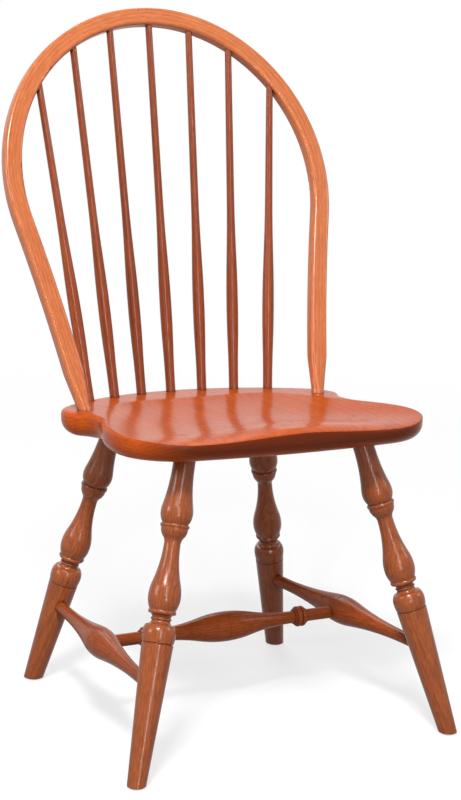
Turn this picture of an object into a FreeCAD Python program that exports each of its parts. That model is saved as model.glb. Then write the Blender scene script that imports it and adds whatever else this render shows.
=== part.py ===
import FreeCAD, Part
import math
import os
import re
import Sketcher
from FreeCAD import Placement, Rotation, Vector

# A bow-back side chair in turned and bent wood.
# The floor is z = 0, the sitter faces -Y, and x = 0 is the plane of symmetry.
# Lengths are in millimetres, and angles and the slope of the seat are in degrees.

sizes = {
    # seat board, in the board's own frame: y is measured along the board
    "seatHeight": 414.5,
    "seatSlope": 4.2,
    "seatThickness": 36.0,
    "seatBackReach": 207.0,
    "seatFrontReach": 216.0,
    "earHalfWidth": 226.0,
    "earSetback": 128.0,
    "earCorner": 68.0,
    "waistHalfWidth": 207.0,
    "waistSetback": 191.0,
    "earToWaistShare": 0.31,
    "frontHalfWidth": 240.0,
    "frontSetback": 106.0,
    "frontCorner": 96.0,
    "waistToFrontShare": 0.35,
    "seatTopRound": 7.0,
    "seatUnderRound": 22.0,
    # saddle, hollowed out of the top of the board
    "saddleDepth": 12.5,
    "saddleFrontHalfWidth": 300.0,
    "saddleBackHalfWidth": 150.0,
    "saddleBackReach": 135.0,
    "saddleRim": 3.0,
    "thighSpacing": 105.0,
    "pommelRise": 7.0,
    "frontLipDrop": 6.0,
    "frontLipRoll": 7.0,
    "frontLipReach": 24.0,
    # legs, with their turning measured down the axis from the seat
    "legFrontTopX": 141.0,
    "legFrontTopY": 131.0,
    "legFrontFootX": 251.0,
    "legFrontFootY": 233.5,
    "legRearTopX": 124.5,
    "legRearTopY": 131.5,
    "legRearFootX": 212.5,
    "legRearFootY": 205.5,
    "legTenonDiameter": 25.0,
    "legTenonLength": 22.0,
    "legNeckDiameter": 30.6,
    "legNeckDrop": 18.0,
    "legBulbDiameter": 44.4,
    "legBulbDrop": 80.5,
    "legBulbShare": 0.14,
    "legBulbEndDiameter": 35.6,
    "legBulbEndDrop": 95.0,
    "legRingDiameter": 40.2,
    "legRingWidth": 6.0,
    "legCupDiameter": 37.4,
    "legCupEndDiameter": 30.4,
    "legCupEndDrop": 112.5,
    "legWaistDiameter": 22.6,
    "legWaistDrop": 122.0,
    "legVaseDiameter": 44.6,
    "legVaseDrop": 194.5,
    "legVaseShare": 0.26,
    "legVaseEndDiameter": 36.0,
    "legVaseEndDrop": 212.5,
    "legDiscDiameter": 38.4,
    "legDiscWidth": 5.5,
    "legCoveDiameter": 25.6,
    "legCoveDrop": 223.0,
    "legFilletDiameter": 28.8,
    "legFilletDrop": 226.5,
    "legFilletWidth": 3.5,
    "legFlareDiameter": 36.0,
    "legFlareDrop": 232.5,
    "legBallStartDiameter": 38.4,
    "legBallDiameter": 46.4,
    "legBallDrop": 244.5,
    "legBallEndDiameter": 43.4,
    "legBallEndDrop": 256.5,
    "legGrooveDepth": 1.2,
    "legGrooveWidth": 2.4,
    "legShaftDiameter": 43.8,
    "legTaper": 0.0468,
    "legSpare": 24.0,
    # nail-on glides
    "glideDiameter": 22.0,
    "glideHeight": 2.5,
    "glideRound": 1.2,
    "nailDiameter": 2.6,
    "nailLength": 16.0,
    # stretchers
    "stretcherFrontHeight": 127.0,
    "stretcherRearHeight": 122.0,
    "stretcherTenonDiameter": 18.0,
    "stretcherTenonPast": 6.0,
    "sideBulbDiameter": 43.4,
    "sideBulbReach": 150.0,
    "sideBulbShare": 0.84,
    "crossSetback": 4.5,
    "crossDrop": 2.5,
    "crossTenonDiameter": 18.4,
    "crossTenonShort": 2.0,
    "crossBulbDiameter": 44.4,
    "crossBulbReach": 112.0,
    "crossBulbShare": 0.62,
    "crossBeadCentre": 128.0,
    "crossBeadDiameter": 30.8,
    "crossBeadWidth": 7.0,
    "crossBeadValleyDiameter": 25.6,
    "crossCollarDiameter": 22.4,
    "crossCollarWidth": 3.5,
    "scribeDepth": 0.7,
    "scribeWidth": 1.6,
    # bow, bent in a plane that leans back
    "bowLeanAngle": 22.8,
    "bowReach": 80.0,
    "bowFootHalfSpread": 195.4,
    "bowCrownRadius": 255.8,
    "bowCrownCentre": 339.6,
    "bowCrownAngle": 103.3,
    "bowWidth": 27.0,
    "bowDepth": 20.0,
    "bowRound": 5.0,
    "bowFootDiameter": 19.0,
    "bowFootRound": 9.0,
    "bowFootTaper": 56.0,
    "bowFootRise": 5.0,
    # wedges in the feet of the bow
    "wedgeWidth": 14.0,
    "wedgeLength": 20.0,
    "wedgeThickness": 3.0,
    "wedgeTip": 0.8,
    # spindles
    "spindleRowRadius": 364.0,
    "spindleRowReach": 190.5,
    "spindleFootX1": 51.6,
    "spindleFootX2": 101.6,
    "spindleFootX3": 151.4,
    "spindleHeadX1": 66.8,
    "spindleHeadX2": 131.1,
    "spindleHeadX3": 194.6,
    "spindleFootDiameter": 14.6,
    "spindleFootDepth": 22.0,
    "spindleFootRise": 12.0,
    "spindleSwellDiameter": 18.2,
    "spindleSwellHeight": 122.0,
    "spindleSwellShare": 0.5,
    "spindleShankDiameter": 11.8,
    "spindleShankHeight": 300.0,
    "spindleHeadDiameter": 10.4,
    "spindleHeadDepth": 15.0,
    "spindleHeadStraight": 12.0,
    # play for glue all round a tenon, and at the bottom of its socket
    "glueGap": 0.05,
    "socketSpare": 0.3,
}

os.makedirs("parts", exist_ok=True)
document = FreeCAD.newDocument("SideChair")

sheet = document.addObject("Spreadsheet::Sheet", "Sizes")
for row, (name, value) in enumerate(sizes.items(), start=1):
    sheet.set("A%d" % row, name)
    sheet.set("B%d" % row, str(value))
    sheet.setAlias("B%d" % row, name)
document.recompute()


def bound(text):
    # the expression that reads each named size from the sheet
    return re.sub(r"[A-Za-z]\w*", lambda word: prefixed(word.group()), text)


def prefixed(word):
    return "Sizes." + word if word in sizes else word


def number(text):
    return float(sheet.evalExpression(bound(text)))


# Frames and bodies

def axisFrame(base, tip):
    # the frame whose Z axis runs from base to tip
    return Placement(base, Rotation(Vector(0, 0, 1), tip.sub(base)))


def shifted(frame, height):
    # the same frame, moved along its own Z axis
    return frame.multiply(Placement(Vector(0, 0, height), Rotation()))


def flipped(frame):
    return frame.multiply(Placement(Vector(), Rotation(Vector(1, 0, 0), 180)))


def partWay(start, end, distance):
    way = end.sub(start)
    return start.add(way * (distance / way.Length))


def newBody(label, frame):
    body = document.addObject("PartDesign::Body", label)
    body.Label = label
    body.Placement = frame
    return body


def originPlane(body, role):
    return [feature for feature in body.Origin.OriginFeatures if feature.Role == role][0]


def newSketch(body, name, role, offset=None):
    sketch = body.newObject("Sketcher::SketchObject", name)
    sketch.AttachmentSupport = [(originPlane(body, role), "")]
    sketch.MapMode = "FlatFace"
    if offset is not None:
        sketch.AttachmentOffset = offset
    return sketch


def setCylinder(cylinder, body, frame, diameter, height):
    # the frame is given in the world, and the body's own frame may be another
    cylinder.setExpression("Radius", bound("(" + diameter + ") / 2"))
    cylinder.setExpression("Height", bound(height))
    cylinder.Placement = body.Placement.inverse().multiply(frame)
    return cylinder


def cutCylinder(body, name, frame, diameter, height):
    cutter = body.newObject("PartDesign::SubtractiveCylinder", name)
    return setCylinder(cutter, body, frame, diameter, height)


def addCylinder(body, name, frame, diameter, height):
    cylinder = body.newObject("PartDesign::AdditiveCylinder", name)
    return setCylinder(cylinder, body, frame, diameter, height)


def cutBelow(body, name, frame, depth):
    # takes away what lies under the plane z = 0 of a frame that is given in the world
    reach = 2 * number("seatFrontReach")
    cutter = body.newObject("PartDesign::SubtractiveBox", name)
    cutter.Length, cutter.Width = 2 * reach, 2 * reach
    cutter.setExpression("Height", bound(depth))
    corner = Placement(Vector(-reach, -reach, -number(depth)), Rotation())
    cutter.Placement = body.Placement.inverse().multiply(frame).multiply(corner)
    return cutter


def edgesOnPlane(body, feature, frame):
    # the names of a feature's edges that lie in the plane z = 0 of a frame in the world
    intoFrame = frame.inverse().multiply(body.Placement)
    names = []
    for index, edge in enumerate(feature.Shape.Edges, start=1):
        middle = edge.valueAt((edge.FirstParameter + edge.LastParameter) / 2)
        points = [vertex.Point for vertex in edge.Vertexes] + [middle]
        if all(abs(intoFrame.multVec(point).z) < 0.001 for point in points):
            names.append("Edge%d" % index)
    return names


# Outlines of lines and tangent arcs
# A piece of an outline is (start, end, centre, turn). A line has no centre, and a turn of 1 or -1
# says which way round the centre the arc runs where it may pass a half circle.

def line(start, end):
    return start, end, None, 0


def besideArc(start, end, level, axis):
    # the arc whose centre lies beside its start or its end, along x or along y
    anchor = start if level == "start" else end
    other = end if level == "start" else start
    dx, dy = other.x - anchor.x, other.y - anchor.y
    if axis == "x":
        centre = Vector(anchor.x + (dx * dx + dy * dy) / (2 * dx), anchor.y, 0)
    else:
        centre = Vector(anchor.x, anchor.y + (dx * dx + dy * dy) / (2 * dy), 0)
    return start, end, centre, 0


def doubleCurve(start, end, share, axis="x"):
    # two arcs that meet on the straight line between their ends
    middle = start.add(end.sub(start) * share)
    return [besideArc(start, middle, "start", axis), besideArc(middle, end, "end", axis)]


def cornerCurve(flat, upright, radius):
    # a flat arc from a point on the y axis, then a corner arc that ends upright
    side = 1 if upright.x > 0 else -1
    way = 1 if flat.y > upright.y else -1
    run, rise = abs(upright.x) - radius, abs(flat.y - upright.y)
    big = (run * run + rise * rise - radius * radius) / (2 * (rise - radius))
    bigCentre = Vector(0, flat.y - way * big, 0)
    smallCentre = Vector(upright.x - side * radius, upright.y, 0)
    meeting = partWay(bigCentre, smallCentre, big)
    return [(flat, meeting, bigCentre, 0), (meeting, upright, smallCentre, 0)]


def reverse(pieces):
    return [(end, start, centre, -turn) for start, end, centre, turn in reversed(pieces)]


def addPiece(sketch, start, end, centre, turn):
    # returns the geometry's number, and which of its ends are the start and the end
    if centre is None:
        return sketch.addGeometry(Part.LineSegment(start, end), False), 1, 2
    first = math.atan2(start.y - centre.y, start.x - centre.x)
    last = math.atan2(end.y - centre.y, end.x - centre.x)
    sweep = (last - first) % (2 * math.pi)
    circle = Part.Circle(centre, Vector(0, 0, 1), start.distanceToPoint(centre))
    if turn > 0 or (turn == 0 and sweep < math.pi):
        arc = Part.ArcOfCircle(circle, first, first + sweep)
        return sketch.addGeometry(arc, False), 1, 2
    arc = Part.ArcOfCircle(circle, last, last + 2 * math.pi - sweep)
    return sketch.addGeometry(arc, False), 2, 1


def drawOutline(sketch, pieces, closed=True):
    drawn = [addPiece(sketch, *piece) for piece in pieces]
    following = drawn[1:] + drawn[:1] if closed else drawn[1:]
    joints = []
    for before, after in zip(drawn, following):
        ends = before[0], before[2], after[0], after[1]
        joints.append(Sketcher.Constraint("Coincident", *ends))
    sketch.addConstraint(joints)
    return drawn


def bindPoint(sketch, geometry, end, across, up):
    # ties a corner of an outline to named sizes
    for kind, text in (("DistanceX", across), ("DistanceY", up)):
        distance = Sketcher.Constraint(kind, -1, 1, geometry, end, number(text))
        index = sketch.addConstraint(distance)
        sketch.setExpression("Constraints[%d]" % index, bound(text))


# Turned pieces
# A station is (diameter, height, way to the next station), from the bottom up. The way is "line",
# "fromLevel" for an arc that is level with the axis where it starts, "toLevel" for one that is
# level where it ends, a share for two such arcs in one curve, or the diameter of a bead.

def turnedPieces(points, stations):
    pieces = []
    for start, end, (across, up, way) in zip(points, points[1:], stations):
        if way == "line":
            pieces.append(line(start, end))
        elif way == "fromLevel":
            pieces.append(besideArc(start, end, "start", "x"))
        elif way == "toLevel":
            pieces.append(besideArc(start, end, "end", "x"))
        elif "Share" in way:
            pieces.extend(doubleCurve(start, end, number(way)))
        else:
            crest = Vector(number(way) / 2, (start.y + end.y) / 2, 0)
            pieces.append((start, end, Part.Arc(start, crest, end).toShape().Curve.Center, 1))
    return pieces


def turnedFeature(body, name, stations):
    # the stations run up the body's Z axis
    sketch = newSketch(body, name + "Profile", "XZ_Plane")
    points = [Vector(number(across) / 2, number(up), 0) for across, up, way in stations]
    foot, top = Vector(0, points[0].y, 0), Vector(0, points[-1].y, 0)
    pieces = [line(foot, points[0])] + turnedPieces(points, stations)
    pieces += [line(points[-1], top), line(top, foot)]
    drawn = drawOutline(sketch, pieces)
    corners = {(p.x, p.y): station for p, station in zip(points, stations)}
    for piece, (geometry, first, last) in zip(pieces, drawn):
        station = corners.get((piece[1].x, piece[1].y))
        if station is not None:
            bindPoint(sketch, geometry, last, "(" + station[0] + ") / 2", station[1])
    revolution = body.newObject("PartDesign::Revolution", name)
    revolution.Profile = sketch
    revolution.ReferenceAxis = (sketch, ["V_Axis"])
    revolution.Angle = 360
    return revolution


def scribeLine(body, name, diameter, height):
    # a fine line cut round a turned piece
    depth, half = number("scribeDepth"), number("scribeWidth") / 2
    radius = number(diameter) / 2
    level = number(height)
    outside = radius + depth
    corners = [Vector(outside, level - half, 0), Vector(radius - depth, level, 0)]
    corners += [Vector(outside, level + half, 0)]
    sketch = newSketch(body, name + "Profile", "XZ_Plane")
    drawOutline(sketch, [line(a, b) for a, b in zip(corners, corners[1:] + corners[:1])])
    groove = body.newObject("PartDesign::Groove", name)
    groove.Profile = sketch
    groove.ReferenceAxis = (sketch, ["V_Axis"])
    groove.Angle = 360
    return groove


# Places that several pieces share

sides = {"left": -1, "right": 1}
rows = {"front": -1, "rear": 1}

seatTurn = Rotation(Vector(1, 0, 0), -number("seatSlope"))
seatFrame = Placement(Vector(0, 0, number("seatHeight")), seatTurn)
bowTurn = Rotation(Vector(1, 0, 0), -number("bowLeanAngle"))
bowMiddle = Vector(0, number("bowReach"), number("seatThickness"))
bowFrame = Placement(seatFrame.multVec(bowMiddle), bowTurn)


def legEnds(row, side):
    # the leg's axis from its foot on the glide up to the underside of the seat
    word = "leg" + row.capitalize()
    topX, topY = sides[side] * number(word + "TopX"), rows[row] * number(word + "TopY")
    footX, footY = sides[side] * number(word + "FootX"), rows[row] * number(word + "FootY")
    top = seatFrame.multVec(Vector(topX, topY, 0))
    return Vector(footX, footY, number("glideHeight")), top


def legPointAt(row, side, height):
    foot, top = legEnds(row, side)
    share = (height - foot.z) / (top.z - foot.z)
    return foot.add(top.sub(foot) * share)


def stretcherEnds(side):
    rear = legPointAt("rear", side, number("stretcherRearHeight"))
    front = legPointAt("front", side, number("stretcherFrontHeight"))
    return rear, front


def crossEnd(side):
    # the end of the cross stretcher's axis, just under the side stretcher's axis
    rear, front = stretcherEnds(side)
    middle = partWay(rear, front, rear.distanceToPoint(front) / 2 - number("crossSetback"))
    return middle.sub(Vector(0, 0, number("crossDrop")))


def bowCurve():
    # the lower arc of the bow leaves the crown smoothly and ends at the foot
    turn = math.radians(number("bowCrownAngle"))
    outward = Vector(math.sin(turn), math.cos(turn), 0)
    crown = Vector(0, number("bowCrownCentre"), 0)
    meeting = crown.add(outward * number("bowCrownRadius"))
    foot = Vector(number("bowFootHalfSpread"), 0, 0)
    way = foot.sub(meeting)
    radius = way.dot(way) / (2 * way.dot(outward))
    return meeting, foot, meeting.add(outward * radius), radius


def bowPoint(distance):
    # the point on the lower arc at a distance above the foot, and how far it leans out there
    meeting, foot, centre, radius = bowCurve()
    spoke = foot.sub(centre)
    turn = distance / radius
    x = spoke.x * math.cos(turn) + spoke.y * math.sin(turn)
    y = spoke.y * math.cos(turn) - spoke.x * math.sin(turn)
    lean = math.degrees(math.atan2(y / radius, -x / radius))
    return Vector(centre.x + x, centre.y + y, 0), lean


def bowFootFrame(side, rise):
    # the frame along a foot of the bow, at a rise above the deck of the seat
    foot, lean = bowPoint(0)
    turn = Rotation(Vector(0, 1, 0), sides[side] * lean)
    place = Placement(Vector(sides[side] * foot.x, 0, 0), turn)
    return shifted(bowFrame.multiply(place), rise)


def spindleEnds(footX, headX):
    # the axis from the deck of the seat to the inner face of the bow
    radius = number("spindleRowRadius")
    footY = number("spindleRowReach") - radius + math.sqrt(radius ** 2 - footX ** 2)
    start = seatFrame.multVec(Vector(footX, footY, number("seatThickness")))
    inner = number("bowCrownRadius") - number("bowWidth") / 2
    up = number("bowCrownCentre") + math.sqrt(inner ** 2 - headX ** 2)
    return start, bowFrame.multVec(Vector(headX, 0, up))


# the spindles from left to right, by their place from the middle one
spindlePlaces = [-3, -2, -1, 0, 1, 2, 3]


def spindleAxis(place):
    side = 1 if place > 0 else -1
    footX = side * number("spindleFootX%d" % abs(place)) if place else 0
    headX = side * number("spindleHeadX%d" % abs(place)) if place else 0
    return spindleEnds(footX, headX)


# Seat

def seatOutline():
    back = Vector(0, number("seatBackReach"), 0)
    front = Vector(0, -number("seatFrontReach"), 0)
    halves = []
    for side in (1, -1):
        ear = Vector(side * number("earHalfWidth"), back.y - number("earSetback"), 0)
        waist = Vector(side * number("waistHalfWidth"), back.y - number("waistSetback"), 0)
        knee = Vector(side * number("frontHalfWidth"), front.y + number("frontSetback"), 0)
        half = cornerCurve(back, ear, number("earCorner"))
        half += doubleCurve(ear, waist, number("earToWaistShare"))
        half += doubleCurve(waist, knee, number("waistToFrontShare"))
        half += reverse(cornerCurve(front, knee, number("frontCorner")))
        halves.append(half)
    return halves[0] + reverse(halves[1])


def saddleSection(body, name, behind, depth, rise):
    # the hollow across the board, at a distance behind its front edge: two thighs and the
    # pommel between them
    front, back = -number("seatFrontReach"), number("saddleBackReach")
    reach, share = front + behind, behind / (back - front)
    offset = Placement(Vector(0, 0, -reach), Rotation())
    sketch = newSketch(body, name, "XZ_Plane", offset)
    top, rim = number("seatThickness"), number("saddleRim")
    wide, narrow = number("saddleFrontHalfWidth"), number("saddleBackHalfWidth")
    edge = wide + share * (narrow - wide)
    thigh = number("thighSpacing") * edge / wide * (1 + share / 2)
    lid = top + 2 * number("saddleDepth")
    points = [Vector(-edge, top + rim, 0), Vector(-thigh, top - depth, 0)]
    points += [Vector(0, top - depth + rise, 0)]
    points += [Vector(thigh, top - depth, 0), Vector(edge, top + rim, 0)]
    curve = Part.BSplineCurve()
    curve.interpolate(points)
    sketch.addGeometry(curve, False)
    corners = [points[-1], Vector(edge, lid, 0), Vector(-edge, lid, 0), points[0]]
    for start, end in zip(corners, corners[1:]):
        sketch.addGeometry(Part.LineSegment(start, end), False)
    ends = zip((0, 1, 2, 3), (1, 2, 3, 0))
    sketch.addConstraint([Sketcher.Constraint("Coincident", a, 2, b, 1) for a, b in ends])
    return sketch


def roundEdges(body, name, base, frame, radius):
    document.recompute()
    fillet = body.newObject("PartDesign::Fillet", name)
    fillet.Base = (base, edgesOnPlane(body, base, frame))
    fillet.setExpression("Radius", bound(radius))
    return fillet


def makeSeat():
    body = newBody("seat", seatFrame)
    outline = newSketch(body, "SeatOutline", "XY_Plane")
    drawOutline(outline, seatOutline())
    board = body.newObject("PartDesign::Pad", "SeatBoard")
    board.Profile = outline
    board.setExpression("Length", bound("seatThickness"))
    deck = shifted(seatFrame, number("seatThickness"))
    crown = roundEdges(body, "SeatTopRound", board, deck, "seatTopRound")
    roundEdges(body, "SeatUnderRound", crown, seatFrame, "seatUnderRound")
    depth, rise = number("saddleDepth"), number("pommelRise")
    lip, rim, roll = number("frontLipDrop"), number("saddleRim"), number("frontLipRoll")
    run = number("saddleBackReach") + number("seatFrontReach")
    hollow = [
        saddleSection(body, "SaddleFront", -rim, lip + roll, rise),
        saddleSection(body, "SaddleLip", number("frontLipReach"), lip, rise),
        saddleSection(body, "SaddleThighs", 0.28 * run, (lip + depth) / 2, 0.7 * rise),
        saddleSection(body, "SaddleMiddle", 0.52 * run, depth, 0.2 * rise),
        saddleSection(body, "SaddleSeat", 0.78 * run, 0.6 * depth, 0),
        saddleSection(body, "SaddleBack", run, -rim, 0),
    ]
    saddle = body.newObject("PartDesign::SubtractiveLoft", "Saddle")
    saddle.Profile = hollow[0]
    saddle.Sections = hollow[1:]
    for row in rows:
        for side in sides:
            foot, top = legEnds(row, side)
            below = shifted(axisFrame(top, top.add(top.sub(foot))), -number("legSpare"))
            name = "LegSocket" + row.capitalize() + side.capitalize()
            reach = "legSpare + legTenonLength + socketSpare"
            cutCylinder(body, name, below, "legTenonDiameter + 2 * glueGap", reach)
    for side in sides:
        below = bowFootFrame(side, -2 * number("seatThickness"))
        name = "BowSocket" + side.capitalize()
        cutCylinder(body, name, below, "bowFootDiameter + 2 * glueGap", "4 * seatThickness")
    for index, place in enumerate(spindlePlaces, start=1):
        start, end = spindleAxis(place)
        bottom = -number("spindleFootDepth + socketSpare")
        frame = shifted(axisFrame(start, end), bottom)
        reach = "spindleFootDepth + seatThickness"
        width = "spindleFootDiameter + 2 * glueGap"
        cutCylinder(body, "SpindleSocket%d" % index, frame, width, reach)


# Legs and their glides

def makeLeg(row, side):
    foot, top = legEnds(row, side)
    frame = axisFrame(foot, top)
    length = foot.distanceToPoint(top)
    body = newBody("leg_%s_%s" % (row, side), frame)
    name = "Leg" + row.capitalize() + side.capitalize()
    whole = "%.6f" % length
    down = whole + " - "
    shaftTop = "legBallEndDrop - legGrooveWidth"
    run = "(" + whole + " + legSpare - legBallEndDrop - legGrooveWidth)"
    grooved = "legBallEndDiameter - 2 * legGrooveDepth"
    stations = [
        ("legShaftDiameter - 2 * legTaper * " + run, "-legSpare", "line"),
        ("legShaftDiameter", down + shaftTop, "line"),
        (grooved, down + shaftTop + " / 1.5", "line"),
        (grooved, down + "legBallEndDrop - legGrooveWidth / 3", "line"),
        ("legBallEndDiameter", down + "legBallEndDrop", "toLevel"),
        ("legBallDiameter", down + "legBallDrop", "fromLevel"),
        ("legBallStartDiameter", down + "legFlareDrop", "line"),
        ("legFlareDiameter", down + "legFlareDrop", "toLevel"),
        ("legCoveDiameter", down + "legFilletDrop", "legFilletDiameter"),
        ("legCoveDiameter", down + "legFilletDrop + legFilletWidth", "fromLevel"),
        ("legVaseEndDiameter", down + "legVaseEndDrop - legDiscWidth", "legDiscDiameter"),
        ("legVaseEndDiameter", down + "legVaseEndDrop", "toLevel"),
        ("legVaseDiameter", down + "legVaseDrop", "legVaseShare"),
        ("legWaistDiameter", down + "legWaistDrop", "fromLevel"),
        ("legCupEndDiameter", down + "legCupEndDrop", "toLevel"),
        ("legCupDiameter", down + "legBulbEndDrop - legRingWidth", "legRingDiameter"),
        ("legBulbEndDiameter", down + "legBulbEndDrop", "toLevel"),
        ("legBulbDiameter", down + "legBulbDrop", "legBulbShare"),
        ("legNeckDiameter", down + "legNeckDrop", "line"),
        ("legNeckDiameter", whole + " + legNeckDrop", "line"),
    ]
    turnedFeature(body, name, stations)
    floor = Placement(Vector(0, 0, number("glideHeight")), Rotation())
    cutBelow(body, name + "Sole", floor, "3 * legSpare")
    cutBelow(body, name + "Shoulder", flipped(seatFrame), "3 * legSpare")
    tenon = shifted(frame, length - number("legNeckDrop"))
    reach = "legNeckDrop + legTenonLength"
    addCylinder(body, name + "Tenon", tenon, "legTenonDiameter", reach)
    nail = Placement(Vector(foot.x, foot.y, 0), Rotation())
    reach = "glideHeight + nailLength + socketSpare"
    cutCylinder(body, name + "NailHole", nail, "nailDiameter + 2 * glueGap", reach)
    rear, front = stretcherEnds(side)
    axis = axisFrame(rear, front) if row == "rear" else axisFrame(front, rear)
    mortise = shifted(axis, -number("stretcherTenonPast + socketSpare"))
    width = "stretcherTenonDiameter + 2 * glueGap"
    cutCylinder(body, name + "Mortise", mortise, width, "legBallDiameter")


def makeGlide(row, side):
    foot, top = legEnds(row, side)
    body = newBody("glide_%s_%s" % (row, side), Placement(Vector(foot.x, foot.y, 0), Rotation()))
    stations = [
        ("glideDiameter - 2 * glideRound", "0", "toLevel"),
        ("glideDiameter", "glideRound", "line"),
        ("glideDiameter", "glideHeight", "line"),
        ("nailDiameter", "glideHeight", "line"),
        ("nailDiameter", "glideHeight + nailLength", "line"),
    ]
    turnedFeature(body, "Glide" + row.capitalize() + side.capitalize(), stations)


# Stretchers

def makeSideStretcher(side):
    rear, front = stretcherEnds(side)
    body = newBody("stretcher_" + side, axisFrame(rear, front))
    half = "%.6f" % (rear.distanceToPoint(front) / 2)
    stations = [
        ("stretcherTenonDiameter", "-stretcherTenonPast", "line"),
        ("stretcherTenonDiameter", half + " - sideBulbReach", "sideBulbShare"),
        ("sideBulbDiameter", half, "1 - sideBulbShare"),
        ("stretcherTenonDiameter", half + " + sideBulbReach", "line"),
        ("stretcherTenonDiameter", "2 * " + half + " + stretcherTenonPast", "line"),
    ]
    name = "SideStretcher" + side.capitalize()
    turnedFeature(body, name, stations)
    scribeLine(body, name + "Scribe", "sideBulbDiameter", half)
    here = crossEnd(side)
    there = crossEnd("left" if side == "right" else "right")
    mortise = shifted(axisFrame(here, there), number("crossTenonShort - socketSpare"))
    width = "crossTenonDiameter + 2 * glueGap"
    cutCylinder(body, name + "Mortise", mortise, width, "sideBulbDiameter")


def makeCrossStretcher():
    left, right = crossEnd("left"), crossEnd("right")
    body = newBody("stretcher_centre", axisFrame(left, right))
    half = left.distanceToPoint(right) / 2
    middle = "%.6f" % half
    beadEnd = "crossBeadCentre + crossBeadWidth"
    beadStart = "crossBeadCentre - crossBeadWidth"
    rising = [
        ("crossTenonDiameter", beadEnd + " + crossCollarWidth", "line"),
        ("crossCollarDiameter", beadEnd + " + crossCollarWidth", "line"),
        ("crossCollarDiameter", beadEnd, "line"),
        ("crossBeadValleyDiameter", beadEnd, "crossBeadDiameter"),
        ("crossBeadValleyDiameter", "crossBeadCentre", "crossBeadDiameter"),
        ("crossBeadValleyDiameter", beadStart, "line"),
        ("crossCollarDiameter", beadStart, "line"),
        ("crossCollarDiameter", beadStart + " - crossCollarWidth", "line"),
        ("crossTenonDiameter", beadStart + " - crossCollarWidth", "line"),
        ("crossTenonDiameter", "crossBulbReach", "crossBulbShare"),
        ("crossBulbDiameter", "0", "1 - crossBulbShare"),
    ]
    stations = [("crossTenonDiameter", "crossTenonShort", "line")]
    for across, out, way in rising:
        stations.append((across, "%s - (%s)" % (middle, out), way))
    ways = [way for across, out, way in rising]
    for index in range(len(rising) - 2, -1, -1):
        across, out, way = rising[index]
        following = ways[index - 1] if index else "line"
        stations.append((across, "%s + (%s)" % (middle, out), following))
    stations.append(("crossTenonDiameter", "2 * %s - crossTenonShort" % middle, "line"))
    turnedFeature(body, "CrossStretcher", stations)
    scribeLine(body, "CrossScribe", "crossBulbDiameter", middle)


# Bow

def roundedRectangle(sketch, width, height, corner):
    w, h, r = number(width) / 2, number(height) / 2, number(corner)
    corners = []
    for sx, sy in ((1, 1), (-1, 1), (-1, -1), (1, -1)):
        centre = Vector(sx * (w - r), sy * (h - r), 0)
        beside, beyond = centre.add(Vector(sx * r, 0, 0)), centre.add(Vector(0, sy * r, 0))
        ends = (beside, beyond) if sx * sy > 0 else (beyond, beside)
        corners.append((ends[0], ends[1], centre, 0))
    outline = []
    for piece, following in zip(corners, corners[1:] + corners[:1]):
        outline += [piece, line(piece[1], following[0])]
    return drawOutline(sketch, outline)


def bowSection(body, name, place, width, depth, corner):
    # a rounded rectangle square to the bow
    sketch = newSketch(body, name, "XY_Plane", place)
    roundedRectangle(sketch, width, depth, corner)
    return sketch


def makeBow():
    body = newBody("bow", bowFrame)
    taper, rise = number("bowFootTaper"), number("bowFootRise")
    meeting, foot, centre, radius = bowCurve()
    shoulder, lean = bowPoint(taper)
    crown = Vector(0, number("bowCrownCentre"), 0)
    half = [(shoulder, meeting, centre, 0)]
    mirrored = [[Vector(-p.x, p.y, 0) for p in piece[:3]] for piece in half]
    path = [(start, end, middle, 0) for start, end, middle in mirrored]
    path += [(path[0][1], meeting, crown, -1)] + reverse(half)
    spine = newSketch(body, "BowPath", "XZ_Plane")
    drawOutline(spine, path, closed=False)
    sections = {}
    for side in sides:
        name = "Bow" + side.capitalize()
        wide = ("bowWidth", "bowDepth", "bowRound")
        narrow = ("bowFootDiameter", "bowFootDiameter", "bowFootRound")
        turn = Rotation(Vector(0, 1, 0), sides[side] * lean)
        place = Placement(Vector(sides[side] * shoulder.x, 0, shoulder.y), turn)
        sections[side] = bowSection(body, name + "Section", place, *wide)
        place = bowFrame.inverse().multiply(bowFootFrame(side, rise))
        sections[side + "Foot"] = bowSection(body, name + "Foot", place, *narrow)
    pipe = body.newObject("PartDesign::AdditivePipe", "BowRail")
    pipe.Profile = sections["left"]
    pipe.Spine = (spine, ["Edge1", "Edge2", "Edge3"])
    for side in sides:
        loft = body.newObject("PartDesign::AdditiveLoft", "Bow" + side.capitalize() + "Taper")
        loft.Profile = sections[side]
        loft.Sections = [sections[side + "Foot"]]
        tenon = flipped(bowFootFrame(side, taper / 2))
        name = "Bow" + side.capitalize() + "Tenon"
        addCylinder(body, name, tenon, "bowFootDiameter", "bowFootTaper / 2 + 2 * seatThickness")
    cutBelow(body, "BowFlush", seatFrame, "2 * seatThickness")
    for side in sides:
        cutKerf(body, side)
    for index, place in enumerate(spindlePlaces, start=1):
        start, end = spindleAxis(place)
        axis = axisFrame(end, end.add(end.sub(start)))
        mouth = shifted(axis, -number("spindleHeadDepth"))
        reach = "2 * spindleHeadDepth + socketSpare"
        width = "spindleHeadDiameter + 2 * glueGap"
        cutCylinder(body, "SpindleHeadSocket%d" % index, mouth, width, reach)


# Wedges, driven into the feet of the bow from under the seat

def wedgeFrame(side):
    # y runs up the foot from the underside of the seat, and z across the wedge
    upwards = bowFootFrame(side, 0)
    base = seatFrame.inverse().multVec(upwards.Base)
    run = seatFrame.Rotation.inverted().multVec(upwards.Rotation.multVec(Vector(0, 0, 1)))
    foot = shifted(upwards, -base.z / run.z)
    return foot.multiply(Placement(Vector(), Rotation(Vector(1, 0, 0), 90)))


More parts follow.
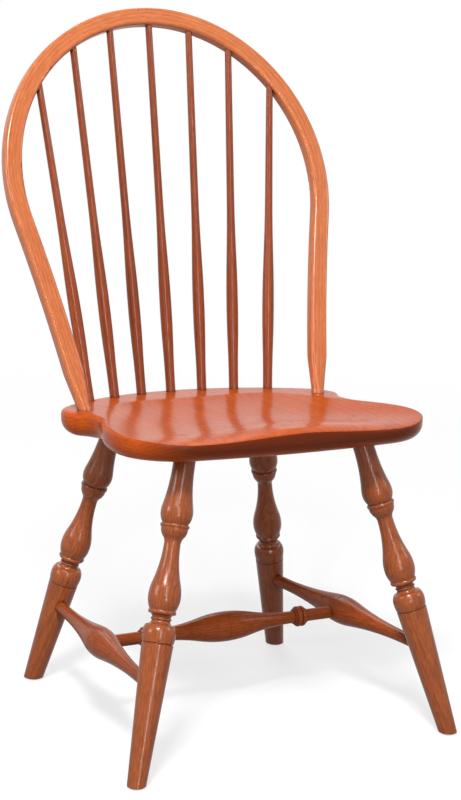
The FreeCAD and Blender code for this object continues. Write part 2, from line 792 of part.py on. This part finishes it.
def setWedge(wedge, body, side, gap):
    wedge.setExpression("Xmin", bound("-wedgeThickness / 2 - " + gap))
    wedge.setExpression("Xmax", bound("wedgeThickness / 2 + " + gap))
    wedge.setExpression("X2min", bound("-wedgeTip / 2 - " + gap))
    wedge.setExpression("X2max", bound("wedgeTip / 2 + " + gap))
    for name in ("Zmin", "Z2min"):
        wedge.setExpression(name, bound("-wedgeWidth / 2 - " + gap))
    for name in ("Zmax", "Z2max"):
        wedge.setExpression(name, bound("wedgeWidth / 2 + " + gap))
    wedge.Ymin = 0
    wedge.setExpression("Ymax", bound("wedgeLength + " + gap))
    wedge.Placement = body.Placement.inverse().multiply(wedgeFrame(side))


def cutKerf(body, side):
    kerf = body.newObject("PartDesign::SubtractiveWedge", "Kerf" + side.capitalize())
    setWedge(kerf, body, side, "glueGap")


def makeWedge(side):
    body = newBody("bow_wedge_" + side, wedgeFrame(side))
    wedge = body.newObject("PartDesign::AdditiveWedge", "Wedge" + side.capitalize())
    setWedge(wedge, body, side, "0")


# Spindles

def makeSpindle(index, place):
    start, end = spindleAxis(place)
    body = newBody("spindle_%d" % index, axisFrame(start, end))
    whole = "%.6f" % start.distanceToPoint(end)
    stations = [
        ("spindleFootDiameter", "-spindleFootDepth", "line"),
        ("spindleFootDiameter", "spindleFootRise", "spindleSwellShare"),
        ("spindleSwellDiameter", "spindleSwellHeight", "spindleSwellShare"),
        ("spindleShankDiameter", "spindleShankHeight", "line"),
        ("spindleHeadDiameter", whole + " - spindleHeadStraight", "line"),
        ("spindleHeadDiameter", whole + " + spindleHeadDepth", "line"),
    ]
    turnedFeature(body, "Spindle%d" % index, stations)


makeSeat()
for row in rows:
    for side in sides:
        makeLeg(row, side)
        makeGlide(row, side)
for side in sides:
    makeSideStretcher(side)
    makeWedge(side)
makeCrossStretcher()
makeBow()
for index, place in enumerate(spindlePlaces, start=1):
    makeSpindle(index, place)

document.recompute()
faults = []
for item in document.Objects:
    if "Invalid" in item.State or "Error" in item.State:
        faults.append(item.Name)
bodies = [item for item in document.Objects if item.TypeId == "PartDesign::Body"]
for body in bodies:
    shape = body.Shape
    if shape.isNull() or not shape.isValid() or len(shape.Solids) != 1:
        faults.append(body.Label)
if faults:
    raise RuntimeError("not sound: " + ", ".join(faults))
# the chair stands on the floor with the middle of its outer box over the origin
whole = FreeCAD.BoundBox()
for body in bodies:
    whole.add(body.Shape.optimalBoundingBox())
home = Placement(Vector(0, -whole.Center.y, 0), Rotation())
for body in bodies:
    body.Placement = home.multiply(body.Placement)
document.recompute()
for body in bodies:
    body.Shape.exportStep("parts/%s.step" % body.Label)
    print("%-18s %10.1f mm3" % (body.Label, body.Shape.Volume))
print("moved back by %.3f mm, %.1f wide, %.1f deep, %.1f high"
      % (-whole.Center.y, whole.XLength, whole.YLength, whole.ZLength))
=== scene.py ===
import math

import bpy
from mathutils import Matrix, Vector


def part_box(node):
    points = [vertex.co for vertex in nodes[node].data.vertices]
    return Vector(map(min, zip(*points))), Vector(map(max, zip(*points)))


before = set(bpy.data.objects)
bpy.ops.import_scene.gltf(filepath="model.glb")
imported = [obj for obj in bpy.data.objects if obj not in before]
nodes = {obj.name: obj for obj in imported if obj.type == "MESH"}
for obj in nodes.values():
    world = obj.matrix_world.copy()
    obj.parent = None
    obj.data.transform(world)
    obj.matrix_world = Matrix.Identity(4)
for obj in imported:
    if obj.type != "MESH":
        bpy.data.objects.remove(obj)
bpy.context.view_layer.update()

# A hoop-back side chair in stained and lacquered wood, in metres
print("chair loaded:", len(nodes), "pieces")


# Small helpers for shader trees
def addNode(tree, kind, settings=None, **inputs):
    node = tree.nodes.new(kind)
    for name, value in (settings or {}).items():
        setattr(node, name, value)
    for name, value in inputs.items():
        node.inputs[name].default_value = value
    return node


def feed(tree, socket, value):
    # value is another node's socket, a number, a vector or a colour
    if isinstance(value, bpy.types.NodeSocket):
        tree.links.new(value, socket)
    elif socket.type == "RGBA":
        socket.default_value = tuple(value) + (1.0,)
    else:
        socket.default_value = value


def addMath(tree, operation, *values, clamp=False):
    node = addNode(tree, "ShaderNodeMath", {"operation": operation, "use_clamp": clamp})
    for socket, value in zip(node.inputs, values):
        feed(tree, socket, value)
    return node.outputs[0]


def addVectorMath(tree, operation, *values, output="Vector"):
    node = addNode(tree, "ShaderNodeVectorMath", {"operation": operation})
    for socket, value in zip(node.inputs, values):
        feed(tree, socket, value)
    return node.outputs[output]


def addNoise(tree, place, values, output="Fac"):
    node = addNode(tree, "ShaderNodeTexNoise", Scale=1.0, Detail=values["detail"],
                   Roughness=values["roughness"])
    feed(tree, node.inputs["Vector"], addVectorMath(tree, "MULTIPLY", place, values["scale"]))
    return node.outputs[output]


def addRamp(tree, value, stops):
    # each stop is a place on the ramp and its level there
    node = addNode(tree, "ShaderNodeValToRGB")
    elements = node.color_ramp.elements
    while len(elements) < len(stops):
        elements.new(0.5)
    for element, (place, level) in zip(elements, stops):
        element.position = place
        element.color = (level, level, level, 1)
    feed(tree, node.inputs[0], value)
    return node.outputs[0]


def addPattern(tree, place, values):
    # noise, spread so that its low and high values become 0 and 1
    noise = addNoise(tree, place, values)
    return addRamp(tree, noise, [(values["low"], 0), (values["high"], 1)])


def addMix(tree, share, first, second, blend="MIX"):
    node = addNode(tree, "ShaderNodeMix", {"data_type": "RGBA", "blend_type": blend})
    factor, colourA, colourB = node.inputs[0], node.inputs[6], node.inputs[7]
    for socket, value in ((factor, share), (colourA, first), (colourB, second)):
        feed(tree, socket, value)
    return node.outputs[2]


def splitVector(tree, vector):
    node = addNode(tree, "ShaderNodeSeparateXYZ")
    feed(tree, node.inputs[0], vector)
    return node.outputs


def joinVector(tree, *values):
    node = addNode(tree, "ShaderNodeCombineXYZ")
    for socket, value in zip(node.inputs, values):
        feed(tree, socket, value)
    return node.outputs[0]


def objectPlace(tree):
    return addNode(tree, "ShaderNodeTexCoord").outputs["Object"]


# Wood figure: patterns that depend on the place in the timber, with z along the grain
figure = {
    "wander": {"scale": (14, 14, 2.6), "detail": 2, "roughness": 0.55, "reach": 0.007},
    "season": [(0, 0.75), (0.12, 0.1), (0.55, 0.25), (0.88, 1), (1, 0.75)],
    "fibre": {"scale": (900, 900, 11), "detail": 3, "roughness": 0.6, "low": 0.3, "high": 0.7},
    "pores": {"scale": (1500, 1500, 70), "detail": 2, "roughness": 0.5,
              "low": 0.56, "high": 0.68},
    "poresInSeason": [(0, 1), (0.3, 0.9), (0.6, 0.35), (1, 0.45)],
    "tone": {"scale": (5, 5, 1.1), "detail": 3, "roughness": 0.55, "low": 0.3, "high": 0.7},
    "mottle": {"scale": (430, 430, 70), "detail": 3, "roughness": 0.6,
               "low": 0.36, "high": 0.64},
}


def buildFigure():
    tree = bpy.data.node_groups.new("timberFigure", "ShaderNodeTree")
    face = tree.interface
    face.new_socket("Place", in_out="INPUT", socket_type="NodeSocketVector")
    face.new_socket("Ring width", in_out="INPUT", socket_type="NodeSocketFloat")
    for name in ("Rings", "Fibre", "Pores", "Tone", "Mottle"):
        face.new_socket(name, in_out="OUTPUT", socket_type="NodeSocketFloat")
    start = tree.nodes.new("NodeGroupInput")
    end = tree.nodes.new("NodeGroupOutput")
    place = start.outputs["Place"]

    # growth rings round the heart, which wander a little
    wander = addNoise(tree, place, figure["wander"], "Color")
    reach = (figure["wander"]["reach"],) * 3
    moved = addVectorMath(tree, "MULTIPLY_ADD", wander, reach, place)
    flat = addVectorMath(tree, "MULTIPLY", moved, (1, 1, 0))
    radius = addVectorMath(tree, "LENGTH", flat, output="Value")
    age = addMath(tree, "DIVIDE", radius, start.outputs["Ring width"])
    season = addMath(tree, "FRACT", age)

    specks = addPattern(tree, place, figure["pores"])
    early = addRamp(tree, season, figure["poresInSeason"])
    feed(tree, end.inputs["Rings"], addRamp(tree, season, figure["season"]))
    feed(tree, end.inputs["Fibre"], addPattern(tree, place, figure["fibre"]))
    feed(tree, end.inputs["Pores"], addMath(tree, "MULTIPLY", specks, early))
    feed(tree, end.inputs["Tone"], addPattern(tree, place, figure["tone"]))
    feed(tree, end.inputs["Mottle"], addPattern(tree, place, figure["mottle"]))
    return tree


timber = buildFigure()

# Wood finish: what all the stained and lacquered pieces share
finish = {
    "endSoakAndShade": [(0.45, 0), (0.95, 1)],      # by how far a face turns to the front or back
    "creaseShadeAndGlaze": [(0.35, 1), (0.85, 0)],  # by how open the surface is
    "poreRoughness": 0.12,
    "reliefHeight": 0.0003, "fibreRelief": 0.25,
    "samples": 6,
}


def stainWood(tree, wood, looks):
    dark = addMath(tree, "MULTIPLY", wood.outputs["Rings"], looks["ringDepth"])
    dark = addMath(tree, "MULTIPLY_ADD", wood.outputs["Fibre"], looks["fibreDepth"], dark)
    dark = addMath(tree, "MULTIPLY_ADD", wood.outputs["Mottle"], looks["mottleDepth"], dark)
    colour = addMix(tree, dark, looks["light"], looks["deep"])
    toned = addMix(tree, 1.0, colour, looks["tint"], "MULTIPLY")
    patch = addMath(tree, "MULTIPLY", wood.outputs["Tone"], looks["toneDepth"])
    colour = addMix(tree, patch, colour, toned)
    flecks = addMath(tree, "MULTIPLY", wood.outputs["Pores"], looks["poreDepth"])
    return addMix(tree, flecks, colour, looks["pore"])


def soakEndGrainAndShade(tree, colour, looks):
    # the ends of the boards, at the front and back, soak up more stain; the same darkening also
    # paints the shade on the seat's front face
    normal = addNode(tree, "ShaderNodeNewGeometry").outputs["Normal"]
    turned = addMath(tree, "ABSOLUTE", splitVector(tree, normal)["Y"])
    ends = addMath(tree, "MULTIPLY", addRamp(tree, turned, finish["endSoakAndShade"]),
                   looks["endAndShadeDepth"])
    return addMix(tree, ends, colour, looks["endGrainAndShade"])


def shadeAndGlazeCreases(tree, colour, looks):
    # glaze stays in grooves and round joints, and this darkening also paints the shade there,
    # where ambient occlusion finds them shut in
    crease = addNode(tree, "ShaderNodeAmbientOcclusion", {"samples": finish["samples"]},
                     Distance=looks["creaseReach"])
    hollow = addRamp(tree, crease.outputs["AO"], finish["creaseShadeAndGlaze"])
    hollow = addMath(tree, "MULTIPLY", hollow, looks["creaseDepth"])
    return addMix(tree, hollow, colour, looks["shadeAndGlaze"])


def raiseGrain(tree, wood, looks):
    # pores sink and fibres rise a little, over softly eased edges
    height = addMath(tree, "MULTIPLY", wood.outputs["Pores"], -1.0)
    height = addMath(tree, "MULTIPLY_ADD", wood.outputs["Fibre"], finish["fibreRelief"], height)
    eased = addNode(tree, "ShaderNodeBevel", {"samples": finish["samples"]},
                    Radius=looks["easedEdge"])
    bump = addNode(tree, "ShaderNodeBump", Strength=looks["bump"],
                   Distance=finish["reliefHeight"])
    feed(tree, bump.inputs["Normal"], eased.outputs["Normal"])
    feed(tree, bump.inputs["Height"], height)
    return bump.outputs["Normal"]


def finishWood(name, looks, placeTimber):
    # placeTimber adds nodes that give the place in the timber
    material = bpy.data.materials.new(name)
    material.use_nodes = True
    tree = material.node_tree
    shader = tree.nodes["Principled BSDF"]
    wood = addNode(tree, "ShaderNodeGroup", {"node_tree": timber})
    feed(tree, wood.inputs["Ring width"], looks["ringWidth"])
    feed(tree, wood.inputs["Place"], placeTimber(tree))

    colour = stainWood(tree, wood, looks)
    if "endGrainAndShade" in looks:
        colour = soakEndGrainAndShade(tree, colour, looks)
    feed(tree, shader.inputs["Base Color"], shadeAndGlazeCreases(tree, colour, looks))
    rough = addMath(tree, "MULTIPLY_ADD", wood.outputs["Pores"], finish["poreRoughness"],
                    looks["roughness"])
    feed(tree, shader.inputs["Roughness"], rough)
    feed(tree, shader.inputs["Specular IOR Level"], looks["gloss"])
    feed(tree, shader.inputs["Normal"], raiseGrain(tree, wood, looks))
    return material


def alongAxis(base, tip, heart, shift=0.0):
    # timber whose grain runs from base to tip, with its heart beside the piece
    turn = (Vector(tip) - Vector(base)).to_track_quat("Z", "Y").inverted()

    def place(tree):
        mapping = addNode(tree, "ShaderNodeMapping", {"vector_type": "POINT"})
        feed(tree, mapping.inputs["Rotation"], turn.to_euler())
        start = -(turn @ Vector(base)) + Vector((heart[0], heart[1], shift))
        feed(tree, mapping.inputs["Location"], start)
        feed(tree, mapping.inputs["Vector"], objectPlace(tree))
        return mapping.outputs[0]

    return place


def setMaterial(node, material):
    mesh = nodes[node].data
    mesh.materials.clear()
    mesh.materials.append(material)


def middleOf(low, high):
    return (Vector(low) + Vector(high)) / 2


# Legs
# The hearts, here and below, say where the middle of the tree was, beside the piece.
legs = {
    "looks": {
        "light": (0.400, 0.102, 0.025), "deep": (0.110, 0.018, 0.004),
        "tint": (0.55, 0.44, 0.36), "pore": (0.035, 0.008, 0.004),
        # the crease colour below is glaze and painted shade, laid where ambient occlusion finds
        # creases and joints
        "shadeAndGlaze": (0.030, 0.006, 0.003),
        "ringWidth": 0.0042, "ringDepth": 0.24, "fibreDepth": 0.30, "mottleDepth": 0.26,
        "toneDepth": 0.65, "poreDepth": 0.60, "creaseDepth": 0.85, "creaseReach": 0.007,
        "roughness": 0.20, "gloss": 0.30, "bump": 0.14, "easedEdge": 0.0008,
    },
    "footInset": 0.013, "topInset": 0.012,      # from the box's corner to the leg's axis
    "hearts": {
        "leg_front_left": (0.050, -0.021), "leg_front_right": (0.041, 0.034),
        "leg_rear_left": (-0.047, 0.022), "leg_rear_right": (0.031, -0.044),
    },
}


def legAxis(name):
    low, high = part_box(name)
    side = -1 if "left" in name else 1
    inner, outer = sorted((abs(low[0]), abs(high[0])))
    footX = side * (outer - legs["footInset"])
    topX = side * (inner + legs["topInset"])
    if "front" in name:
        footY, topY = low[1] + legs["footInset"], high[1] - legs["topInset"]
    else:
        footY, topY = high[1] - legs["footInset"], low[1] + legs["topInset"]
    return (footX, footY, low[2]), (topX, topY, high[2])


for name, heart in legs["hearts"].items():
    foot, top = legAxis(name)
    look = finishWood("lacquer_" + name, legs["looks"], alongAxis(foot, top, heart))
    setMaterial(name, look)
print("legs finished")

# Stretchers
stretchers = {
    "looks": dict(legs["looks"], light=(0.390, 0.086, 0.020), roughness=0.22, gloss=0.10),
    "inset": 0.009,         # from the box's side to the axis
    "rise": 0.0025,         # of the front end above the middle, and of the middle above the rear
    "hearts": {
        "stretcher_left": (0.036, 0.040), "stretcher_right": (0.036, -0.040),
        "stretcher_centre": (0.030, 0.043),
    },
}


def stretcherAxis(name):
    low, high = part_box(name)
    middle = middleOf(low, high)
    if "centre" in name:
        return (low[0], middle.y, middle.z), (high[0], middle.y, middle.z)
    side = -1 if "left" in name else 1
    inner, outer = sorted((abs(low[0]), abs(high[0])))
    rear = (side * (inner + stretchers["inset"]), high[1], middle.z - stretchers["rise"])
    front = (side * (outer - stretchers["inset"]), low[1], middle.z + stretchers["rise"])
    return rear, front


for name, heart in stretchers["hearts"].items():
    start, tip = stretcherAxis(name)
    look = finishWood("lacquer_" + name, stretchers["looks"], alongAxis(start, tip, heart))
    setMaterial(name, look)
print("stretchers finished")

# Spindles, from left to right, each from its own place in the timber
spindles = {
    "looks": dict(legs["looks"], light=(0.340, 0.070, 0.017), deep=(0.095, 0.016, 0.004),
                  ringWidth=0.0030, mottleDepth=0.22, roughness=0.15, gloss=0.26),
    "count": 7,
    "footInset": 0.008, "headInset": 0.006,     # from the box's corner to the axis
    "heart": (0.028, 0.020), "heartStep": (0.003, -0.011),
    "sameDepth": 3,                             # every third heart lies as deep
}


def spindleAxis(name, lean):
    # lean is below 0 left of the middle and above 0 right of it
    low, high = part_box(name)
    footInset, headInset = spindles["footInset"], spindles["headInset"]
    footX = headX = 0.0
    if lean > 0:
        footX, headX = low[0] + footInset, high[0] - headInset
    elif lean < 0:
        footX, headX = high[0] - footInset, low[0] + headInset
    return (footX, low[1] + footInset, low[2]), (headX, high[1] - headInset, high[2])


def spindleHeart(index):
    across = spindles["heart"][0] + spindles["heartStep"][0] * index
    deep = spindles["heart"][1] + spindles["heartStep"][1] * (index % spindles["sameDepth"])
    return across, deep


middleSpindle = (spindles["count"] + 1) // 2
for index in range(1, spindles["count"] + 1):
    name = "spindle_%d" % index
    foot, head = spindleAxis(name, index - middleSpindle)
    grain = alongAxis(foot, head, spindleHeart(index), index)
    setMaterial(name, finishWood("lacquer_" + name, spindles["looks"], grain))
print("spindles finished")

# Seat: staves glued side by side, with the grain from front to back
seat = {
    "looks": {
        "light": (0.550, 0.100, 0.010), "deep": (0.275, 0.034, 0.003),
        "tint": (0.74, 0.58, 0.46), "pore": (0.110, 0.022, 0.008),
        # the crease colour below is glaze and painted shade, laid where ambient occlusion finds
        # creases and joints
        "shadeAndGlaze": (0.040, 0.009, 0.004),
        "ringWidth": 0.0050, "ringDepth": 0.30, "fibreDepth": 0.22, "mottleDepth": 0.34,
        "toneDepth": 0.45, "poreDepth": 0.45, "creaseDepth": 0.70, "creaseReach": 0.010,
        "roughness": 0.22, "gloss": 0.07, "bump": 0.06, "easedEdge": 0.008,
        # the end grain colour below also paints the shade on the seat's front and back faces
        "endGrainAndShade": (0.080, 0.014, 0.005), "endAndShadeDepth": 0.92,
    },
    "staveWidth": 0.092,
    "heartLevel": 0.345,        # height of the hearts, below the seat's top
    "acrossSpread": 0.11, "deepSpread": 0.05, "alongSpread": 0.6,   # by chance, stave by stave
}


def stavePlace(tree):
    x, y, z = splitVector(tree, objectPlace(tree))
    width = seat["staveWidth"]
    moved = addMath(tree, "ADD", x, width / 2)
    number = addMath(tree, "FLOOR", addMath(tree, "DIVIDE", moved, width))
    chance = addNode(tree, "ShaderNodeTexWhiteNoise", {"noise_dimensions": "1D"})
    feed(tree, chance.inputs["W"], number)
    parts = addNode(tree, "ShaderNodeSeparateColor")
    feed(tree, parts.inputs[0], chance.outputs["Color"])
    chanceX, chanceZ, chanceY = parts.outputs

    across = addMath(tree, "SUBTRACT", x, addMath(tree, "MULTIPLY", number, width))
    chanceX = addMath(tree, "SUBTRACT", chanceX, 0.5)
    across = addMath(tree, "MULTIPLY_ADD", chanceX, seat["acrossSpread"], across)
    deep = addMath(tree, "SUBTRACT", z, seat["heartLevel"])
    deep = addMath(tree, "MULTIPLY_ADD", chanceZ, seat["deepSpread"], deep)
    along = addMath(tree, "MULTIPLY_ADD", chanceY, seat["alongSpread"], y)
    return joinVector(tree, across, deep, along)


setMaterial("seat", finishWood("lacquer_seat", seat["looks"], stavePlace))
print("seat finished")

# Bow: the grain follows the bend, round the crown and down to the drawn-in feet
bow = {
    "looks": {
        "light": (0.640, 0.200, 0.066), "deep": (0.340, 0.078, 0.022),
        "tint": (0.76, 0.62, 0.54), "pore": (0.200, 0.050, 0.018),
        # the crease colour below is glaze and painted shade, laid where ambient occlusion finds
        # creases and joints
        "shadeAndGlaze": (0.070, 0.015, 0.006),
        "ringWidth": 0.0034, "ringDepth": 0.30, "fibreDepth": 0.26, "mottleDepth": 0.36,
        "toneDepth": 0.55, "poreDepth": 0.60, "creaseDepth": 0.85, "creaseReach": 0.007,
        "roughness": 0.17, "gloss": 0.34, "bump": 0.14, "easedEdge": 0.001,
    },
    "foot": (0.0, 0.0428, 0.4445),      # midway between the feet, in the bow's own plane
    "lean": 22.8,                       # of that plane, backwards, in degrees
    "crownCentre": 0.3396, "crownRadius": 0.2558,
    "drawIn": 0.178,                    # for each metre below the crown's centre
    "heart": (0.035, 0.06),
}


def bentPlace(tree):
    mapping = addNode(tree, "ShaderNodeMapping", {"vector_type": "TEXTURE"})
    feed(tree, mapping.inputs["Location"], bow["foot"])
    feed(tree, mapping.inputs["Rotation"], (-math.radians(bow["lean"]), 0, 0))
    feed(tree, mapping.inputs["Vector"], objectPlace(tree))
    x, depth, z = splitVector(tree, mapping.outputs[0])

    rise = addMath(tree, "SUBTRACT", z, bow["crownCentre"])
    above = addMath(tree, "MAXIMUM", rise, 0.0)
    below = addMath(tree, "MAXIMUM", addMath(tree, "MULTIPLY", rise, -1.0), 0.0)
    side = addMath(tree, "ABSOLUTE", x)
    reach = addMath(tree, "MULTIPLY_ADD", below, bow["drawIn"], side)
    square = addMath(tree, "MULTIPLY", reach, reach)
    square = addMath(tree, "MULTIPLY_ADD", above, above, square)
    heartRadius = bow["crownRadius"] - bow["heart"][0]
    across = addMath(tree, "SUBTRACT", addMath(tree, "SQRT", square), heartRadius)

    # the length along the bow, from the middle of the crown
    turn = addMath(tree, "ARCTAN2", reach, above)
    length = addMath(tree, "MULTIPLY_ADD", turn, bow["crownRadius"], below)
    along = addMath(tree, "MULTIPLY", length, addMath(tree, "SIGN", x))
    deep = addMath(tree, "ADD", depth, bow["heart"][1])
    return joinVector(tree, across, deep, along)


setMaterial("bow", finishWood("lacquer_bow", bow["looks"], bentPlace))

# Wedges in the bow's feet, stained but not lacquered
wedges = {
    "looks": dict(legs["looks"], light=(0.24, 0.085, 0.035), deep=(0.12, 0.035, 0.014),
                  ringWidth=0.0022, roughness=0.5),
    "heart": (0.02, 0.03),
}
for name in ("bow_wedge_left", "bow_wedge_right"):
    low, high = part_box(name)
    middle = middleOf(low, high)
    bottom, top = (middle.x, middle.y, low[2]), (middle.x, middle.y, high[2])
    grain = alongAxis(bottom, top, wedges["heart"])
    setMaterial(name, finishWood("stain_" + name, wedges["looks"], grain))
print("bow and wedges finished")

# Glides under the feet: plated steel, scuffed by the floor
glides = {
    "plate": (0.63, 0.61, 0.57), "scuff": (0.40, 0.38, 0.35),
    "roughness": 0.28, "scuffRoughness": 0.3,
    "scratches": {"scale": (900, 120, 300), "detail": 4, "roughness": 0.65,
                  "low": 0.45, "high": 0.62},
}


def finishGlide():
    material = bpy.data.materials.new("platedSteel")
    material.use_nodes = True
    tree = material.node_tree
    shader = tree.nodes["Principled BSDF"]
    feed(tree, shader.inputs["Metallic"], 1.0)
    scratches = addPattern(tree, objectPlace(tree), glides["scratches"])
    colour = addMix(tree, scratches, glides["plate"], glides["scuff"])
    feed(tree, shader.inputs["Base Color"], colour)
    rough = addMath(tree, "MULTIPLY_ADD", scratches, glides["scuffRoughness"],
                    glides["roughness"])
    feed(tree, shader.inputs["Roughness"], rough)
    return material


plated = finishGlide()
for name in nodes:
    if name.startswith("glide"):
        setMaterial(name, plated)
print("glides finished")

# Studio: a pale floor, a white surround and soft lamps
studio = {
    "floorSize": 12.0, "floorColour": (0.86, 0.86, 0.86), "floorBounce": (0.24, 0.23, 0.22),
    "floorGlow": 0.66, "fadeFrom": 0.5, "fadeTo": 2.6,      # the floor turns white further off
    "surround": 0.17,
    "aim": (0, 0, 0.5),
    "lamps": {
        "key": {"place": (-1.7, -2.2, 4.0), "size": 0.8, "power": 212.0},
        "fill": {"place": (-3.2, 0.2, 1.7), "size": 1.0, "power": 34.0},
        "strip": {"place": (-0.85, -3.1, 1.5), "size": 0.22, "length": 2.8, "power": 52.0},
        "side": {"place": (2.8, -1.6, 2.2), "size": 0.9, "power": 20.0},
        "back": {"place": (0.6, 2.6, 3.0), "size": 1.8, "power": 50.0},
    },
}


def seenShare(tree, path):
    # 1 for what the camera sees, also in metal or through glass
    seen = addMath(tree, "ADD", path.outputs["Is Camera Ray"], path.outputs["Is Glossy Ray"])
    return addMath(tree, "ADD", seen, path.outputs["Is Transmission Ray"], clamp=True)


def floorMaterial():
    material = bpy.data.materials.new("paleFloor")
    material.use_nodes = True
    tree = material.node_tree
    tree.nodes.clear()
    matt = addNode(tree, "ShaderNodeBsdfDiffuse")
    glow = addNode(tree, "ShaderNodeEmission", Strength=1.0)
    path = addNode(tree, "ShaderNodeLightPath")
    pale = addMix(tree, path.outputs["Is Camera Ray"], studio["floorBounce"],
                  studio["floorColour"])
    feed(tree, matt.inputs["Color"], pale)

    far = addVectorMath(tree, "LENGTH", objectPlace(tree), output="Value")
    fade = addNode(tree, "ShaderNodeMapRange", **{
        "From Min": studio["fadeFrom"], "From Max": studio["fadeTo"],
        "To Min": studio["floorGlow"], "To Max": 1.0})
    feed(tree, fade.inputs["Value"], far)
    mix = addNode(tree, "ShaderNodeMixShader")
    share = addMath(tree, "MULTIPLY", seenShare(tree, path), fade.outputs[0])
    for socket, value in zip(mix.inputs, (share, matt.outputs[0], glow.outputs[0])):
        feed(tree, socket, value)
    output = addNode(tree, "ShaderNodeOutputMaterial")
    feed(tree, output.inputs[0], mix.outputs[0])
    return material


def layFloor():
    half = studio["floorSize"] / 2
    mesh = bpy.data.meshes.new("floor")
    corners = [(-half, -half, 0), (half, -half, 0), (half, half, 0), (-half, half, 0)]
    mesh.from_pydata(corners, [], [(0, 1, 2, 3)])
    mesh.materials.append(floorMaterial())
    floor = bpy.data.objects.new("floor", mesh)
    bpy.context.scene.collection.objects.link(floor)


def lightWorld():
    world = bpy.data.worlds.new("studioWhite")
    bpy.context.scene.world = world
    world.use_nodes = True
    tree = world.node_tree
    background = tree.nodes["Background"]
    feed(tree, background.inputs["Color"], (1, 1, 1))
    path = addNode(tree, "ShaderNodeLightPath")
    strength = addNode(tree, "ShaderNodeMapRange", **{
        "To Min": studio["surround"], "To Max": 1.0})
    feed(tree, strength.inputs["Value"], seenShare(tree, path))
    feed(tree, background.inputs["Strength"], strength.outputs[0])


def hangLamp(name, values):
    lamp = bpy.data.lights.new(name, "AREA")
    lamp.size = values["size"]
    if "length" in values:
        lamp.shape = "RECTANGLE"
        lamp.size_y = values["length"]
    lamp.energy = values["power"]
    holder = bpy.data.objects.new(name, lamp)
    bpy.context.scene.collection.objects.link(holder)
    holder.location = values["place"]
    aim = Vector(studio["aim"]) - Vector(values["place"])
    holder.rotation_euler = aim.to_track_quat("-Z", "Y").to_euler()


layFloor()
lightWorld()
for name, values in studio["lamps"].items():
    hangLamp(name, values)
print("studio lit")

# Camera, at the photograph's place; angles in degrees, lens and sensor in millimetres
view = {
    "place": (-1.379, -2.5186, 1.0725), "azimuth": -29.05, "elevation": 12.13, "roll": 2.34,
    "focal": 90.45, "sensor": 36.0,
}


def placeCamera():
    azimuth, elevation, roll = (math.radians(view[name])
                                for name in ("azimuth", "elevation", "roll"))
    forward = Vector((-math.sin(azimuth) * math.cos(elevation),
                      math.cos(azimuth) * math.cos(elevation), -math.sin(elevation)))
    right = forward.cross(Vector((0, 0, 1))).normalized()
    up = right.cross(forward)
    across = right * math.cos(roll) + up * math.sin(roll)
    upright = up * math.cos(roll) - right * math.sin(roll)
    lens = bpy.data.cameras.new("photoView")
    lens.sensor_fit = "VERTICAL"
    lens.sensor_height = view["sensor"]
    lens.lens = view["focal"]
    camera = bpy.data.objects.new("photoView", lens)
    bpy.context.scene.collection.objects.link(camera)
    turn = Matrix((across, upright, -forward)).transposed()
    camera.matrix_world = Matrix.Translation(view["place"]) @ turn.to_4x4()
    bpy.context.scene.camera = camera


placeCamera()
bpy.context.scene.view_settings.view_transform = "Standard"
